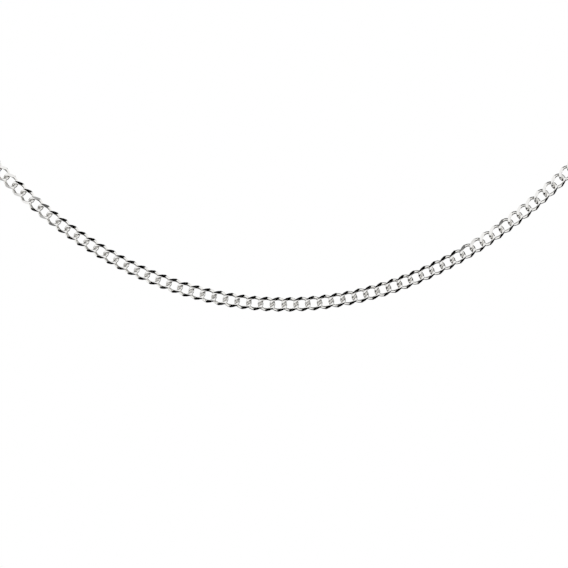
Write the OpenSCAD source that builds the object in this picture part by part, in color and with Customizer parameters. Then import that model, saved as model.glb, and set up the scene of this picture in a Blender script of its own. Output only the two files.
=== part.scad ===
// Curb chain necklace: twisted wire links cut flat on both faces, closed by a plain barrel clasp.
// Millimetres, +Z up, front toward -Y. The origin is where the inner side of the clasp rests on the nape.

/* [Link] */
// Width of the chain across its flat faces
chain_w = 2.95; // [2.8:0.01:3.1]
// Thickness of the chain between its flat-cut faces
chain_t = 0.9; // [0.8:0.05:1]
// Length of one link over its tips
link_len = 3.63; // [3.4:0.01:4]
// Diameter of the wire round the corners of a link
bend_d = 0.54; // [0.5:0.01:0.56]
// Diameter of the wire across the tips of a link
tip_d = 0.57; // [0.56:0.01:0.6]
// Diameter of the wire along the sides of a link
side_d = 0.64; // [0.58:0.01:0.68]
// Clearance between two links that hook into each other
link_gap = 0.12; // [0.1:0.01:0.16]

/* [Clasp] */
// Length of the barrel
clasp_len = 13; // [9:0.5:15]
// Diameter of the barrel
clasp_d = 3.6; // [3:0.1:5]
// Diameter of the wire of the two eyes
eye_wire_d = 0.8; // [0.6:0.05:1]
// Diameter of the hole in each eye
eye_bore = 2; // [1.8:0.1:2.6]
// Play of an end link in its eye
eye_gap = 0.25; // [0.2:0.05:0.3]

/* [Front arc] */
// Radius of the hanging arc across the front at its lowest link, seen from the front
arc_r = 65; // [60:1:75]
// Radius with which it bows back round the chest, seen from above
bow_r = 190; // [160:10:300]

/* [Round the neck] */
// Half width of the loop at the sides of the neck
loop_half_w = 69; // [66:1:74]
// Depth of the loop from the nape to the front
loop_depth = 102; // [96:1:110]
// Height of the nape above the lowest link
loop_drop = 84; // [80:1:90]
// Angle by which the flat face leans up at the nape
nape_lean = 60; // [45:5:60]

/* [Hidden] */
round_fn = 24;

// Straight lengths of wire, beyond each bend's end, that the bend runs into
tip_lap = 0.1;
side_lap = 0.1;
// Height of a link's corners over its middle, in wires and clearance
corner_lift = 1.3;

// A link's wire runs between these points: its tips on X, its sides on Y, its corners lifted or sunk
half_l = (link_len - tip_d) / 2;
half_w = (chain_w - side_d) / 2;
// Below zero, so that the upper left and lower right corners stand in front
lift = -corner_lift * (bend_d + link_gap);
tip_run = norm([half_w, lift]);
side_run = norm([half_l, lift]);
tip_dir = [0, half_w, lift] / tip_run;
side_dir = [half_l, 0, lift] / side_run;
bend_angle = acos(-tip_dir * side_dir);
bend_r = tip_run / tan(bend_angle / 2);
side_straight = side_run - tip_run;
pitch = 2 * half_l - tip_d - link_gap;

// The eyes of the clasp, and the centre of the end link that hooks into one
eye_r = (eye_bore + eye_wire_d) / 2;
eye_x = (clasp_len + eye_bore) / 2;
end_link_x = eye_x + eye_r - (tip_d + eye_wire_d) / 2 - eye_gap + half_l;
nape_out = [0, cos(nape_lean), sin(nape_lean)];
clasp_centre = nape_out * clasp_d / 2;

// Chosen points of the route. The hanging arc ends at this share of the loop's half width
arc_share = 0.826;
// Those of the hidden stretch, as shares of the loop's half width, depth and drop:
// before the side, at the side, after the side and before the nape
route_shares = [[1, 0.84, 0.382], [1, 0.735, 0.267], [1, 0.495, 0.004], [0.635, 0, 0]];
// Length of the straight pull with which the hanging arc runs on past its end
arc_lead = 16.5;
samples = 80;
// Above 1, the chain's face turns toward the nape late rather than evenly
turn_power = 1.8;

arc_half_w = arc_share * loop_half_w;

function arc_height(x) = arc_r * ((exp(x / arc_r) + exp(-x / arc_r)) / 2 - 1);
function arc_slope(x) = (exp(x / arc_r) - exp(-x / arc_r)) / 2;
function arc_back(x) = bow_r - sqrt(bow_r * bow_r - x * x);
function arc_heading(x) = asin(x / bow_r);
function arc_point(x) = clasp_centre + [x, arc_back(x) - loop_depth, arc_height(x) - loop_drop];
function chosen(i) = clasp_centre + [route_shares[i][0] * loop_half_w,
    -route_shares[i][1] * loop_depth, -route_shares[i][2] * loop_drop];
function bezier(p, t) = pow(1 - t, 3) * p[0] + 3 * pow(1 - t, 2) * t * p[1]
    + 3 * (1 - t) * t * t * p[2] + pow(t, 3) * p[3];
function unit(v) = v / norm(v);

arc_end = arc_point(arc_half_w);
front_end = arc_heading(arc_half_w);
arc_lead_point = arc_end + arc_lead * unit([1, tan(front_end), arc_slope(arc_half_w)]);
nape_end = clasp_centre + [end_link_x, 0, 0];
side_curve = [arc_end, arc_lead_point, chosen(0), chosen(1)];
back_curve = [chosen(1), chosen(2), chosen(3), nape_end];

// Half of the route, from the lowest point of the front to the end link at the clasp
half_route = concat(
    [for (i = [0:samples]) arc_point(arc_half_w * i / samples)],
    [for (i = [1:samples]) bezier(side_curve, i / samples)],
    [for (i = [1:samples]) bezier(back_curve, i / samples)]);
run_to = [for (i = 0, s = 0; i < len(half_route);
    s = s + (i + 1 < len(half_route) ? norm(half_route[i + 1] - half_route[i]) : 0), i = i + 1) s];
half_len = run_to[len(run_to) - 1];
hidden_from = run_to[samples];
tables = [for (axis = [0:2]) [for (i = [0:len(run_to) - 1]) [run_to[i], half_route[i][axis]]]];

// Links stand at equal steps, as many as the pitch needs, and hook over the middle of the front
side_links = ceil(half_len / pitch + 0.5);
step = half_len / (side_links - 0.5);

function at(s) = [for (axis = [0:2]) lookup(s, tables[axis])];
function along(s) = unit(at(min(s + step / 4, half_len)) - at(max(s - step / 4, 0)));
function round_share(s) = max(s - hidden_from, 0) / (half_len - hidden_from);
function heading(s) = let (front = arc_heading(min(at(s)[0], arc_half_w)))
    s < hidden_from ? front : front_end + (180 - front_end) * pow(round_share(s), turn_power);
function outward(s) = let (lean = nape_lean * sin(90 * round_share(s)))
    [sin(heading(s)) * cos(lean), -cos(heading(s)) * cos(lean), sin(lean)];
function face(s) = unit(outward(s) - (outward(s) * along(s)) * along(s));

// Places children with X along the wearer's loop, Z out of the chain's face and Y across it
module set_on(centre, run, out) {
    across = cross(out, run);
    multmatrix([for (i = [0:2]) [run[i], across[i], out[i], centre[i]]])
        children();
}

// One corner bend, from the tip at +X toward the side at +Y
module bend() {
    inward = unit([-half_l, half_w, 0] - ([-half_l, half_w, 0] * tip_dir) * tip_dir);
    set_on([half_l, 0, 0], tip_dir, cross(tip_dir, inward))
        translate([0, bend_r, 0])
            rotate([0, 0, -90])
                rotate_extrude(angle = bend_angle, $fn = round_fn)
                    translate([bend_r, 0])
                        circle(d = bend_d, $fn = round_fn);
}

module tip() {
    translate([half_l, 0, 0])
        rotate([-atan2(half_w, lift), 0, 0])
            cylinder(h = 2 * tip_lap, d = tip_d, center = true, $fn = round_fn);
}

module side() {
    translate([0, half_w, 0])
        rotate([0, atan2(half_l, lift), 0])
            cylinder(h = 2 * (side_straight + side_lap), d = side_d, center = true, $fn = round_fn);
}

// A link is twisted, with two opposite corners in front and two behind, and is cut flat front and back
module link() {
    intersection() {
        for (half_turn = [0, 180])
            rotate([0, 0, half_turn]) {
                bend();
                rotate([180, 0, 0]) bend();
                tip();
                side();
            }
        cube([2 * link_len, 2 * chain_w, chain_t], center = true);
    }
}

// Links of one half, where hand is 1 to the right of the front and -1 to the left
module chain_half(hand) {
    for (i = [0:side_links - 1]) {
        s = (i + 0.5) * step;
        set_on([hand * at(s)[0], at(s)[1], at(s)[2]],
            [along(s)[0], hand * along(s)[1], hand * along(s)[2]],
            [hand * face(s)[0], face(s)[1], face(s)[2]])
            link();
    }
}

module curb_chain_left() { color("#c9cbce") chain_half(-1); }

module curb_chain_right() { color("#c9cbce") chain_half(1); }

// The clasp lies along X with its eyes edge-on to the chain's face, so that the end links hook through
module clasp() {
    color("#c9cbce")
        set_on(clasp_centre, [1, 0, 0], nape_out) {
            rotate([0, 90, 0])
                barrel();
            for (end = [-1, 1])
                translate([end * eye_x, 0, 0])
                    rotate([90, 0, 0])
                        rotate_extrude($fn = round_fn)
                            translate([eye_r, 0])
                                circle(d = eye_wire_d, $fn = round_fn);
        }
}

// A plain barrel, with its ends cut to one ball
module barrel() {
    intersection() {
        cylinder(h = clasp_len, d = clasp_d, center = true, $fn = round_fn);
        sphere(d = clasp_len, $fn = round_fn);
    }
}

curb_chain_left();
curb_chain_right();
clasp();
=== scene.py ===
import math
import random

import bmesh
import bpy
from mathutils import Euler, Matrix, Vector


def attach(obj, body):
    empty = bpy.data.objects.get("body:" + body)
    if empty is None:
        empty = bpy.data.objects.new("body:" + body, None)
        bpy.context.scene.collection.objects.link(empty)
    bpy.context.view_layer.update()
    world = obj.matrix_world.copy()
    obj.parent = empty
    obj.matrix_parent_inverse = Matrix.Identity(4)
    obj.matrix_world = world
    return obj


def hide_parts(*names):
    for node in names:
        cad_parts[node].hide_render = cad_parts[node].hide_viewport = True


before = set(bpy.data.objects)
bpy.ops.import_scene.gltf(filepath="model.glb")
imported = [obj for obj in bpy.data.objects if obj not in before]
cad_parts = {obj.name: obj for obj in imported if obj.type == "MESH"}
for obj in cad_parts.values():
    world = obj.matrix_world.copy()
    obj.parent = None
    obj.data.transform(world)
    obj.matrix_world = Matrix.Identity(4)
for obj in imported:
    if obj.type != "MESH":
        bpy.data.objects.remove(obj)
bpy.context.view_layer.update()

bl_info = {
    "name": "Curb chain necklace",
    "version": (1, 0, 0),
    "blender": (4, 5, 0),
    "location": "3D View > Sidebar > Necklace",
    "description": "Builds a flat-cut curb chain necklace with a plain barrel clasp",
    "category": "Add Mesh",
}

MM = 0.001
HANDS = {"left": -1, "right": 1}

# The chosen points of the route, and the sizes that give the number of links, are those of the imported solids
ARC_SHARE = 0.826
ROUTE_SHARES = ((1, 0.84, 0.382), (1, 0.735, 0.267), (1, 0.495, 0.004), (0.635, 0, 0))
ARC_LEAD = 16.5 * MM
ROUTE_STEPS = 80
TURN_POWER = 1.8
SOLID_LINK_LENGTH = 3.63 * MM
SOLID_TIP_WIRE = 0.57 * MM
SOLID_LINK_GAP = 0.12 * MM


# Sizes and colours

def millimetres(name, value, description):
    """A length of the necklace, kept in metres and shown as a length."""
    return bpy.props.FloatProperty(
        name=name, description=description, default=value * MM, min=0.0, unit="LENGTH", precision=5
    )


def degrees(name, value, description):
    """An angle, kept in radians and shown in degrees."""
    return bpy.props.FloatProperty(
        name=name, description=description, default=math.radians(value), subtype="ANGLE"
    )


def amount(name, value, description, most=1.0):
    """A plain number from zero to the most that makes sense."""
    return bpy.props.FloatProperty(name=name, description=description, default=value, min=0.0, max=most)


def linear(value):
    """A colour written as sRGB hex, turned to linear."""
    parts = [int(value[i:i + 2], 16) / 255 for i in (1, 3, 5)]
    return tuple(c / 12.92 if c <= 0.04045 else ((c + 0.055) / 1.055)**2.4 for c in parts) + (1.0,)


def colour(name, value, description):
    """A colour, written as sRGB hex and kept linear."""
    return bpy.props.FloatVectorProperty(
        name=name, description=description, default=linear(value), subtype="COLOR", size=4, min=0.0, max=1.0
    )


class ChainSizes(bpy.types.PropertyGroup):
    """Sizes of one link of the curb chain."""

    width: millimetres("Chain width", 2.95, "Width of the chain across its flat faces")
    thickness: millimetres("Chain thickness", 0.9, "Thickness between the flat-cut faces")
    tip_wire: millimetres("Wire at the tips", 0.57, "Diameter of a link's wire across its tips")
    side_wire: millimetres("Wire at the sides", 0.66, "Diameter of a link's wire along its sides")
    play: millimetres("Play", 0.06, "Play between two links that hook into each other")
    twist: millimetres("Twist height", 0.4, "How far the twist lifts a link's front corners")
    edge_cut: millimetres("Edge cut", 0.66, "Width of the slanting cut along a front corner's outer edge")
    edge_slant: degrees("Edge cut slant", 37, "Angle between the slanting cut and the flat face")
    worn_edge: millimetres("Worn edge", 0.07, "Width by which tumbling wears the sharp edges of the cuts")
    edge_lean: degrees("Edge cut lean", 8, "Angle by which the slanting cut leans off the chain's run")
    unevenness: degrees("Unevenness", 1.2, "How much the links lie askew, as they settle in the chain")


class LoopSizes(bpy.types.PropertyGroup):
    """Sizes of the loop in which the chain hangs."""

    arc_radius: millimetres("Front arc radius", 65, "Radius of the hanging arc at its lowest link")
    bow_radius: millimetres("Front bow radius", 190, "Radius with which the arc bows back round the chest")
    half_width: millimetres("Loop half width", 69, "Half width of the loop at the sides of the neck")
    depth: millimetres("Loop depth", 102, "Depth of the loop from the nape to the front")
    drop: millimetres("Loop drop", 84, "Height of the nape above the lowest link")
    nape_lean: degrees("Lean at the nape", 60, "Angle by which the flat face leans up at the nape")


class ClaspSizes(bpy.types.PropertyGroup):
    """Sizes of the barrel clasp."""

    length: millimetres("Barrel length", 13, "Length of the barrel")
    diameter: millimetres("Barrel diameter", 3.6, "Diameter of the barrel")
    eye_wire: millimetres("Eye wire", 0.8, "Diameter of the wire of the two eyes")
    eye_bore: millimetres("Eye bore", 2, "Diameter of the hole in each eye")
    eye_play: millimetres("Eye play", 0.25, "Play of an end link in its eye")


class SilverFinish(bpy.types.PropertyGroup):
    """Colour and polish of the sterling silver."""

    cut_colour: colour("Cut colour", "#F6F5F3", "Colour of the bright cut faces")
    wire_colour: colour("Wire colour", "#F7F6F3", "Colour of the tumbled wire")
    # Slightly darker wire colour, painted as shade where two links hook through each other
    hook_shade_colour: colour("Hook colour", "#EFEEEC", "Colour of the faint film where two links hook")
    cut_roughness: amount("Cut roughness", 0.03, "Roughness of the bright cut faces")
    wire_roughness: amount("Wire roughness", 0.14, "Roughness of the tumbled wire")


class StudioSet(bpy.types.PropertyGroup):
    """Floor, light and camera."""

    floor_colour: colour("Floor colour", "#F4F4F4", "Colour of the matt floor")
    floor_drop: millimetres("Floor drop", 500, "Height of the origin above the floor")
    backdrop_glow: amount("Backdrop glow", 1.0, "Strength of the white behind the chain", 4.0)
    tent_glow: amount("Tent glow", 0.003, "Strength of the dark parts of the light tent", 1.0)
    camera_distance: millimetres("Camera distance", 1200, "Distance from the camera to the lowest link")
    frame_width: millimetres("Frame width", 113.6, "Width that the camera sees at the lowest link")
    frame_left: millimetres("Frame shift", -0.03, "How far the picture's middle is right of the lowest link")
    frame_up: millimetres("Frame height", 4.09, "How far the picture's middle is above the lowest link")


# Route of the chain

def clasp_centre():
    """Centre of the barrel, and the direction in which it stands off the nape."""
    lean = bpy.context.scene.necklace_loop.nape_lean
    out = Vector((0, math.cos(lean), math.sin(lean)))
    return out * bpy.context.scene.necklace_clasp.diameter / 2, out


def eye_place():
    """Radius of an eye's centre-line, and its distance from the middle of the barrel."""
    clasp = bpy.context.scene.necklace_clasp
    return (clasp.eye_bore + clasp.eye_wire) / 2, (clasp.length + clasp.eye_bore) / 2


class Route:
    """Half of the line that the links' centres follow, from the middle of the front to the clasp."""

    def __init__(self):
        loop = bpy.context.scene.necklace_loop
        clasp = bpy.context.scene.necklace_clasp
        self.loop = loop
        self.arc_half = ARC_SHARE * loop.half_width
        self.arc_end_turn = self.front_turn(self.arc_half)
        centre, _ = clasp_centre()
        eye_radius, eye_x = eye_place()
        half_link = (SOLID_LINK_LENGTH - SOLID_TIP_WIRE) / 2
        end_link_x = eye_x + eye_radius - (SOLID_TIP_WIRE + clasp.eye_wire) / 2 - clasp.eye_play + half_link
        arc = [centre + self.arc_point(self.arc_half * i / ROUTE_STEPS) for i in range(ROUTE_STEPS + 1)]
        rise = math.sinh(self.arc_half / loop.arc_radius)
        lead = arc[-1] + ARC_LEAD * Vector((1, math.tan(self.arc_end_turn), rise)).normalized()
        chosen = [
            centre + Vector((x * loop.half_width, -y * loop.depth, -z * loop.drop))
            for x, y, z in ROUTE_SHARES
        ]
        nape_end = centre + Vector((end_link_x, 0, 0))
        side = self.curve(arc[-1], lead, chosen[0], chosen[1])
        back = self.curve(chosen[1], chosen[2], chosen[3], nape_end)
        self.points = arc + side + back
        self.runs = [0.0]
        for a, b in zip(self.points, self.points[1:]):
            self.runs.append(self.runs[-1] + (b - a).length)
        self.length = self.runs[-1]
        self.hidden_from = self.runs[ROUTE_STEPS]
        pitch = 2 * half_link - SOLID_TIP_WIRE - SOLID_LINK_GAP
        self.links = math.ceil(self.length / pitch + 0.5)
        self.step = self.length / (self.links - 0.5)

    def front_turn(self, x):
        """Angle by which the face turns outwards round the chest."""
        return math.asin(x / self.loop.bow_radius)

    def arc_point(self, x):
        """A point of the hanging arc, from the middle of the barrel."""
        loop = self.loop
        back = loop.bow_radius - math.sqrt(loop.bow_radius**2 - x * x)
        height = loop.arc_radius * (math.cosh(x / loop.arc_radius) - 1)
        return Vector((x, back - loop.depth, height - loop.drop))

    @staticmethod
    def curve(a, b, c, d):
        """Points of a Bezier curve, without its first."""
        shares = [i / ROUTE_STEPS for i in range(1, ROUTE_STEPS + 1)]
        return [
            (1 - t)**3 * a + 3 * (1 - t)**2 * t * b + 3 * (1 - t) * t * t * c + t**3 * d for t in shares
        ]

    def at(self, run):
        """The point that far along the route."""
        run = min(max(run, 0), self.length)
        for i, end in enumerate(self.runs[1:]):
            if run <= end:
                share = (run - self.runs[i]) / (end - self.runs[i])
                return self.points[i].lerp(self.points[i + 1], share)
        return self.points[-1]

    def along(self, run):
        """The chain's direction at that point."""
        return (self.at(run + self.step / 4) - self.at(run - self.step / 4)).normalized()

    def face(self, run):
        """The direction in which the chain's flat face looks at that point."""
        share = max(run - self.hidden_from, 0) / (self.length - self.hidden_from)
        if run < self.hidden_from:
            turn = self.front_turn(min(self.at(run).x, self.arc_half))
        else:
            turn = self.arc_end_turn + (math.pi - self.arc_end_turn) * share**TURN_POWER
        lean = self.loop.nape_lean * math.sin(math.pi / 2 * share)
        out = Vector((
            math.sin(turn) * math.cos(lean),
            -math.cos(turn) * math.cos(lean),
            math.sin(lean),
        ))
        along = self.along(run)
        return (out - out.dot(along) * along).normalized()

    def seats(self, hand):
        """A matrix for each link of one half: X along the chain, Y across it and Z out of its face."""
        places = []
        for i in range(self.links):
            run = (i + 0.5) * self.step
            centre, along, out = self.at(run), self.along(run), self.face(run)
            centre.x *= hand
            out.x *= hand
            along = Vector((along.x, hand * along.y, hand * along.z))
            turn = Matrix((along, out.cross(along), out)).transposed().to_4x4()
            places.append(Matrix.Translation(centre) @ turn)
        return places


# Links

WIRE_SIDES = 8
LINK_STATIONS = 16
WIRE, CUT = 0, 1
# How closely the thicker wire keeps to a link's sides, and the painted shade where links hook keeps to its
# tips
SIDE_POWER = 1.5
HOOK_POWER = 3
# Cosine above which a cut face counts as flat rather than slanting
FLAT = 0.99
DOUBLES = 0.001 * MM
SLIVERS = 0.02 * MM
WORN_STEEPNESS = 0.8
LINK_SEED = 7


def ring_place(chain, half_length, turn):
    """Place and size of the wire's ring at that angle round the link, with Z along the wire."""
    half_width = (chain.width - chain.side_wire) / 2
    point = Vector((
        half_length * math.cos(turn),
        half_width * math.sin(turn),
        -chain.twist * math.sin(2 * turn),
    ))
    run = Vector((
        -half_length * math.sin(turn),
        half_width * math.cos(turn),
        -2 * chain.twist * math.cos(2 * turn),
    )).normalized()
    side_share = abs(math.sin(turn))**SIDE_POWER
    radius = (chain.tip_wire + (chain.side_wire - chain.tip_wire) * side_share) / 2
    up = (Vector((0, 0, 1)) - run.z * run).normalized()
    turned = Matrix((up.cross(run), up, run)).transposed().to_4x4()
    return Matrix.Translation(point) @ turned @ Matrix.Diagonal((radius, radius, 1, 1))


def link_cuts(chain):
    """A point and an outward direction for each flat face and each slanting edge cut."""
    face_z = chain.thickness / 2
    cuts = [(Vector((0, 0, face_z)), Vector((0, 0, 1))), (Vector((0, 0, -face_z)), Vector((0, 0, -1)))]
    slant, lean = chain.edge_slant, chain.edge_lean
    corner = Vector((-chain.width / 4, chain.width / 2 - chain.edge_cut, face_z))
    out = Vector((-math.sin(lean) * math.sin(slant), math.cos(lean) * math.sin(slant), math.cos(slant)))
    for half_turn in ("", "X", "Y", "Z"):
        turn = Matrix.Rotation(math.pi, 3, half_turn) if half_turn else Matrix.Identity(3)
        cuts.append((turn @ corner, turn @ out))
    return cuts


def wear_flats(bm, chain):
    """Wears down the edge of each flat face, but not where an edge cut meets it."""
    flats = [face for face in bm.faces if face.material_index == CUT and abs(face.normal.z) > FLAT]
    for flat in flats:
        drop = math.copysign(chain.worn_edge * WORN_STEEPNESS, flat.normal.z)
        worn = [v for v in flat.verts if all(f is flat or f.material_index == WIRE for f in v.link_faces)]
        bmesh.ops.inset_region(bm, faces=[flat], thickness=chain.worn_edge, use_even_offset=True)
        for vert in worn:
            vert.co.z -= drop


def link_mesh(chain, step):
    """One twisted oval link, with its front and back cut flat and its raised corners cut aslant."""
    half_length = (step + chain.tip_wire + chain.play) / 2
    bm = bmesh.new()
    # Weight of the painted shade: 1 at the tips, where the neighbouring links hook through, falling to 0 along
    # the sides
    hook = bm.verts.layers.float.new("hook")
    before = ring_place(chain, half_length, 0)
    bmesh.ops.create_circle(bm, segments=WIRE_SIDES, radius=1, matrix=before)
    for vert in bm.verts:
        vert[hook] = 1
    edges = bm.edges[:]
    for i in range(1, LINK_STATIONS + 1):
        turn = 2 * math.pi * i / LINK_STATIONS
        grown = bmesh.ops.extrude_edge_only(bm, edges=edges)["geom"]
        ring = [v for v in grown if isinstance(v, bmesh.types.BMVert)]
        edges = [e for e in grown if isinstance(e, bmesh.types.BMEdge) and all(v in ring for v in e.verts)]
        now = ring_place(chain, half_length, turn)
        bmesh.ops.transform(bm, matrix=now @ before.inverted(), verts=ring)
        for vert in ring:
            vert[hook] = abs(math.cos(turn))**HOOK_POWER
        before = now
    bmesh.ops.remove_doubles(bm, verts=bm.verts, dist=DOUBLES)
    for face in bm.faces:
        face.smooth = True
        face.material_index = WIRE
    for point, out in link_cuts(chain):
        bmesh.ops.bisect_plane(
            bm, geom=bm.verts[:] + bm.edges[:] + bm.faces[:], plane_co=point, plane_no=out, clear_outer=True
        )
        rim = [e for e in bm.edges if e.is_boundary]
        for face in bmesh.ops.holes_fill(bm, edges=rim, sides=0)["faces"]:
            face.smooth = False
            face.material_index = CUT
            for edge in face.edges:
                edge.smooth = False
    bmesh.ops.remove_doubles(bm, verts=bm.verts, dist=SLIVERS)
    bmesh.ops.recalc_face_normals(bm, faces=bm.faces)
    wear_flats(bm, chain)
    bmesh.ops.recalc_face_normals(bm, faces=bm.faces)
    mesh = bpy.data.meshes.new("curb_link")
    bm.to_mesh(mesh)
    bm.free()
    return mesh


# Materials

# Distances between the marks as drawn, and the depth of the waves
WAVE_SCALE = 0.4 * MM
WAVE_DEPTH = 0.004 * MM
WAVE_STRENGTH = 0.25
MARK_SCALE = 0.3 * MM
# Roughness where the marks are faintest and strongest, as shares of the wire's own
SMOOTHEST = 0.7
ROUGHEST = 1.4


def add_node(tree, kind, settings=None, links=None):
    """Adds one node with its settings and the links into it."""
    node = tree.nodes.new(kind)
    for name, value in (settings or {}).items():
        if hasattr(node, str(name)):
            setattr(node, name, value)
        else:
            node.inputs[name].default_value = value
    for name, output in (links or {}).items():
        tree.links.new(output, node.inputs[name])
    return node


def new_material(name):
    """An empty node material."""
    material = bpy.data.materials.new(name)
    material.use_nodes = True
    material.node_tree.nodes.clear()
    return material, material.node_tree


def diamond_cut_silver():
    """Sterling silver cut with a diamond tool and left as cut."""
    finish = bpy.context.scene.necklace_finish
    material, tree = new_material("diamond_cut_sterling_silver")
    place = add_node(tree, "ShaderNodeTexCoord")
    # The eye gets flat mirrors, all white or all black, with the tool's faint waves in them.
    # The real waves are about 0.05 mm apart, and are drawn at 0.4 mm so that they show
    waves = add_node(
        tree, "ShaderNodeTexNoise", {"Scale": 1 / WAVE_SCALE, "Detail": 1.0},
        {"Vector": place.outputs["Object"]}
    )
    ripple = add_node(
        tree, "ShaderNodeBump", {"Strength": WAVE_STRENGTH, "Distance": WAVE_DEPTH},
        {"Height": waves.outputs["Fac"]}
    )
    shader = add_node(
        tree, "ShaderNodeBsdfPrincipled",
        {"Base Color": finish.cut_colour, "Metallic": 1.0, "Roughness": finish.cut_roughness},
        {"Normal": ripple.outputs["Normal"]}
    )
    add_node(tree, "ShaderNodeOutputMaterial", None, {"Surface": shader.outputs["BSDF"]})
    return material


def tumbled_silver():
    """Drawn sterling silver wire, tumbled bright."""
    finish = bpy.context.scene.necklace_finish
    material, tree = new_material("tumbled_sterling_silver_wire")
    place = add_node(tree, "ShaderNodeTexCoord")
    hook = add_node(tree, "ShaderNodeAttribute", {"attribute_name": "hook"})
    # The eye gets a softer shine than on the cuts, and a faint painted shade where two links hook: a slightly
    # darker wire colour mixed in by the hook weight.
    # Tumbling marks are a few hundredths of a millimetre wide, and are drawn at 0.3 mm so that they show
    marks = add_node(
        tree, "ShaderNodeTexNoise", {"Scale": 1 / MARK_SCALE, "Detail": 2.0},
        {"Vector": place.outputs["Object"]}
    )
    # Painted shade where links hook, broken up by the tumbling marks
    painted_shade = add_node(
        tree, "ShaderNodeMath", {"operation": "MULTIPLY"}, {0: hook.outputs["Fac"], 1: marks.outputs["Fac"]}
    )
    tone = add_node(
        tree, "ShaderNodeMix", {"data_type": "RGBA", 6: finish.wire_colour, 7: finish.hook_shade_colour},
        {0: painted_shade.outputs[0]}
    )
    rough = add_node(
        tree, "ShaderNodeMapRange",
        {"To Min": finish.wire_roughness * SMOOTHEST, "To Max": finish.wire_roughness * ROUGHEST},
        {"Value": marks.outputs["Fac"]}
    )
    shader = add_node(
        tree, "ShaderNodeBsdfPrincipled", {"Metallic": 1.0},
        {"Base Color": tone.outputs[2], "Roughness": rough.outputs["Result"]}
    )
    add_node(tree, "ShaderNodeOutputMaterial", None, {"Surface": shader.outputs["BSDF"]})
    return material


MAKERS = {"diamond_cut_sterling_silver": diamond_cut_silver, "tumbled_sterling_silver_wire": tumbled_silver}


def silver(name):
    """The named silver, made when it is first asked for."""
    return bpy.data.materials.get(name) or MAKERS[name]()


# Pieces

def show(bm, name, node, materials):
    """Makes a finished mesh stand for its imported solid."""
    mesh = bpy.data.meshes.new(name)
    bm.to_mesh(mesh)
    bm.free()
    for material in materials:
        mesh.materials.append(material)
    piece = bpy.data.objects.new(name, mesh)
    bpy.context.scene.collection.objects.link(piece)
    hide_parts(node)
    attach(piece, "root")


class NECKLACE_OT_chain(bpy.types.Operator):
    """Builds both halves of the curb chain."""

    bl_idname = "necklace.chain"
    bl_label = "Curb chain"

    def execute(self, context):
        chain = context.scene.necklace_chain
        route = Route()
        link = link_mesh(chain, route.step)
        chance = random.Random(LINK_SEED)
        for side, hand in HANDS.items():
            bm = bmesh.new()
            for seat in route.seats(hand):
                first = len(bm.verts)
                bm.from_mesh(link)
                bm.verts.ensure_lookup_table()
                # The links lie a little askew, so that they don't all catch the light alike
                askew = Euler([chance.gauss(0, chain.unevenness) for _ in "XYZ"]).to_matrix().to_4x4()
                bmesh.ops.transform(bm, matrix=seat @ askew, verts=bm.verts[first:])
            materials = (silver("tumbled_sterling_silver_wire"), silver("diamond_cut_sterling_silver"))
            show(bm, f"curb_chain_{side}_links", f"curb_chain_{side}", materials)
        bpy.data.meshes.remove(link)
        return {"FINISHED"}


CROWN_STEPS = 8
BARREL_STEPS = 48
EYE_SIDES = 16
EYE_STEPS = 40
# Angle between two faces above which their edge stays crisp
SHARP = math.radians(18)


class NECKLACE_OT_clasp(bpy.types.Operator):
    """Builds the barrel clasp."""

    bl_idname = "necklace.clasp"
    bl_label = "Barrel clasp"

    def execute(self, context):
        clasp = context.scene.necklace_clasp
        centre, out = clasp_centre()
        half, radius = clasp.length / 2, clasp.diameter / 2
        bm = bmesh.new()
        # Each end is part of one ball as wide as the barrel is long, from the axis to the shoulder
        crown = math.asin(radius / half)
        angles = [crown * i / CROWN_STEPS for i in range(CROWN_STEPS + 1)]
        profile = [Vector((half * math.cos(angle), 0, half * math.sin(angle))) for angle in angles]
        profile += [Vector((-point.x, 0, point.z)) for point in reversed(profile)]
        verts = [bm.verts.new(point) for point in profile]
        for a, b in zip(verts, verts[1:]):
            bm.edges.new((a, b))
        bmesh.ops.spin(
            bm, geom=bm.verts[:] + bm.edges[:], cent=(0, 0, 0), axis=(1, 0, 0), angle=2 * math.pi,
            steps=BARREL_STEPS, use_merge=True
        )
        bmesh.ops.remove_doubles(bm, verts=bm.verts, dist=DOUBLES)
        eye_radius, eye_x = eye_place()
        for end in (-1, 1):
            place = Matrix.Translation((end * eye_x + eye_radius, 0, 0))
            ring = bmesh.ops.create_circle(
                bm, segments=EYE_SIDES, radius=clasp.eye_wire / 2, matrix=place
            )["verts"]
            edges = list(dict.fromkeys(edge for vert in ring for edge in vert.link_edges))
            bmesh.ops.spin(
                bm, geom=ring + edges, cent=(end * eye_x, 0, 0), axis=(0, 1, 0), angle=2 * math.pi,
                steps=EYE_STEPS, use_merge=True
            )
        bmesh.ops.remove_doubles(bm, verts=bm.verts, dist=DOUBLES)
        for face in bm.faces:
            face.smooth = True
        bmesh.ops.recalc_face_normals(bm, faces=bm.faces)
        for edge in bm.edges:
            if len(edge.link_faces) == 2 and edge.calc_face_angle() > SHARP:
                edge.smooth = False
        along = Vector((1, 0, 0))
        turn = Matrix((along, out.cross(along), out)).transposed().to_4x4()
        bmesh.ops.transform(bm, matrix=Matrix.Translation(centre) @ turn, verts=bm.verts)
        show(bm, "clasp_barrel", "clasp", (silver("diamond_cut_sterling_silver"),))
        return {"FINISHED"}


# Studio

FLOOR_RADIUS = 4.0
FLOOR_SIDES = 96
PAPER_ROUGHNESS = 0.9
NEAREST_SEEN = 0.01
# Windows of the light tent: direction, angle that is fully lit, angle where it fades out, strength
WINDOWS = (
    ((0, -1, 0), 58, 64, 0.95),
    ((-0.15, 0.95, 0.2), 26, 38, 1.0),
    ((-1, 0, 0), 36, 46, 1.0),
    ((1, 0, 0.3), 32, 42, 1.0),
)


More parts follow.
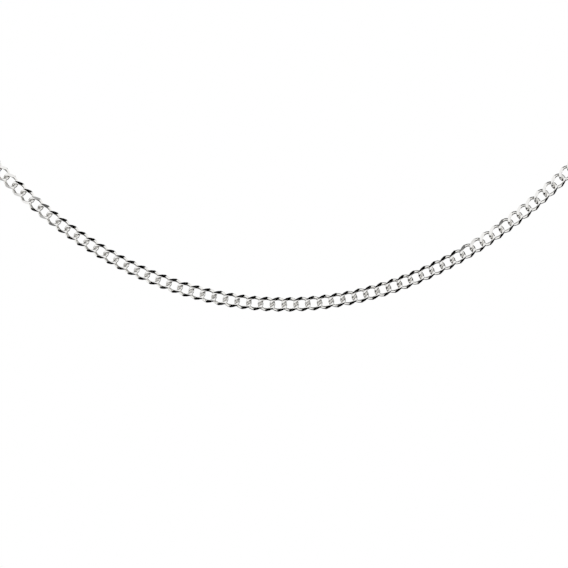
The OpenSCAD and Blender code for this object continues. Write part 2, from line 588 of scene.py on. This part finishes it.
class NECKLACE_OT_studio(bpy.types.Operator):
    """Sets up the floor, the light tent and the camera."""

    bl_idname = "necklace.studio"
    bl_label = "Studio"

    def execute(self, context):
        scene = context.scene
        studio = scene.necklace_studio
        self.floor(scene, studio)
        self.camera(scene, studio)
        self.tent(scene, studio)
        scene.view_settings.view_transform = "Standard"
        scene.view_settings.look = "None"
        return {"FINISHED"}

    def floor(self, scene, studio):
        """Lays a plain pale floor."""
        bm = bmesh.new()
        bmesh.ops.create_circle(bm, cap_ends=True, radius=FLOOR_RADIUS, segments=FLOOR_SIDES)
        bmesh.ops.translate(bm, vec=(0, 0, -studio.floor_drop), verts=bm.verts)
        mesh = bpy.data.meshes.new("studio_floor")
        bm.to_mesh(mesh)
        bm.free()
        material, tree = new_material("matt_pale_paper")
        shader = add_node(
            tree, "ShaderNodeBsdfPrincipled",
            {"Base Color": studio.floor_colour, "Roughness": PAPER_ROUGHNESS}
        )
        add_node(tree, "ShaderNodeOutputMaterial", None, {"Surface": shader.outputs["BSDF"]})
        mesh.materials.append(material)
        floor = bpy.data.objects.new("studio_floor", mesh)
        # The chain hangs in the light tent, so its silver doesn't mirror the floor
        floor.visible_glossy = False
        scene.collection.objects.link(floor)

    def camera(self, scene, studio):
        """Sets the camera level with the front of the chain."""
        lowest = Route().at(0)
        lens = bpy.data.cameras.new("camera")
        lens.lens = lens.sensor_width * studio.camera_distance / studio.frame_width
        lens.clip_start = NEAREST_SEEN
        camera = bpy.data.objects.new("camera", lens)
        camera.location = lowest + Vector((studio.frame_left, -studio.camera_distance, studio.frame_up))
        camera.rotation_euler = (math.pi / 2, 0, 0)
        scene.collection.objects.link(camera)
        scene.camera = camera

    def tent(self, scene, studio):
        """Hangs a soft light tent round the chain, with a white backdrop."""
        world = bpy.data.worlds.new("light_tent")
        world.use_nodes = True
        tree = world.node_tree
        tree.nodes.clear()
        way = add_node(tree, "ShaderNodeTexCoord")
        glow = None
        for direction, lit, faded, strength in WINDOWS:
            facing = add_node(
                tree, "ShaderNodeVectorMath", {"operation": "DOT_PRODUCT", 1: Vector(direction).normalized()},
                {0: way.outputs["Generated"]}
            )
            window = add_node(
                tree, "ShaderNodeMapRange",
                {"interpolation_type": "SMOOTHSTEP", "From Min": math.cos(math.radians(faded)),
                 "From Max": math.cos(math.radians(lit)), "To Max": strength},
                {"Value": facing.outputs["Value"]}
            ).outputs["Result"]
            glow = window if glow is None else add_node(
                tree, "ShaderNodeMath", {"operation": "MAXIMUM"}, {0: glow, 1: window}
            ).outputs[0]
        total = add_node(tree, "ShaderNodeMath", {"operation": "ADD", 1: studio.tent_glow}, {0: glow})
        tent = add_node(
            tree, "ShaderNodeBackground", {"Color": (1, 1, 1, 1)}, {"Strength": total.outputs[0]}
        )
        white = add_node(
            tree, "ShaderNodeBackground", {"Color": (1, 1, 1, 1), "Strength": studio.backdrop_glow}
        )
        path = add_node(tree, "ShaderNodeLightPath")
        shown = add_node(
            tree, "ShaderNodeMixShader", None,
            {0: path.outputs["Is Camera Ray"], 1: tent.outputs[0], 2: white.outputs[0]}
        )
        add_node(tree, "ShaderNodeOutputWorld", None, {"Surface": shown.outputs[0]})
        scene.world = world


# Add-on

class NECKLACE_PT_panel(bpy.types.Panel):
    """Lists the pieces of the necklace and their sizes."""

    bl_label = "Curb chain necklace"
    bl_idname = "NECKLACE_PT_panel"
    bl_space_type = "VIEW_3D"
    bl_region_type = "UI"
    bl_category = "Necklace"

    def draw(self, context):
        for operator in (NECKLACE_OT_chain, NECKLACE_OT_clasp, NECKLACE_OT_studio):
            self.layout.operator(operator.bl_idname)
        for group in GROUPS:
            box = self.layout.box()
            values = getattr(context.scene, group)
            for name in values.bl_rna.properties.keys():
                if name not in ("rna_type", "name"):
                    box.prop(values, name)


GROUPS = {
    "necklace_chain": ChainSizes,
    "necklace_loop": LoopSizes,
    "necklace_clasp": ClaspSizes,
    "necklace_finish": SilverFinish,
    "necklace_studio": StudioSet,
}
CLASSES = (*GROUPS.values(), NECKLACE_OT_chain, NECKLACE_OT_clasp, NECKLACE_OT_studio, NECKLACE_PT_panel)


def register():
    """Registers the classes and gives the scene its sizes."""
    for cls in CLASSES:
        bpy.utils.register_class(cls)
    for name, group in GROUPS.items():
        setattr(bpy.types.Scene, name, bpy.props.PointerProperty(type=group))


def unregister():
    """Takes the classes and the sizes away again."""
    for name in GROUPS:
        delattr(bpy.types.Scene, name)
    for cls in reversed(CLASSES):
        bpy.utils.unregister_class(cls)


def main():
    """Builds the stage and the pieces."""
    register()
    bpy.ops.necklace.studio()
    bpy.ops.necklace.chain()
    bpy.ops.necklace.clasp()


if __name__ == "__main__":
    main()
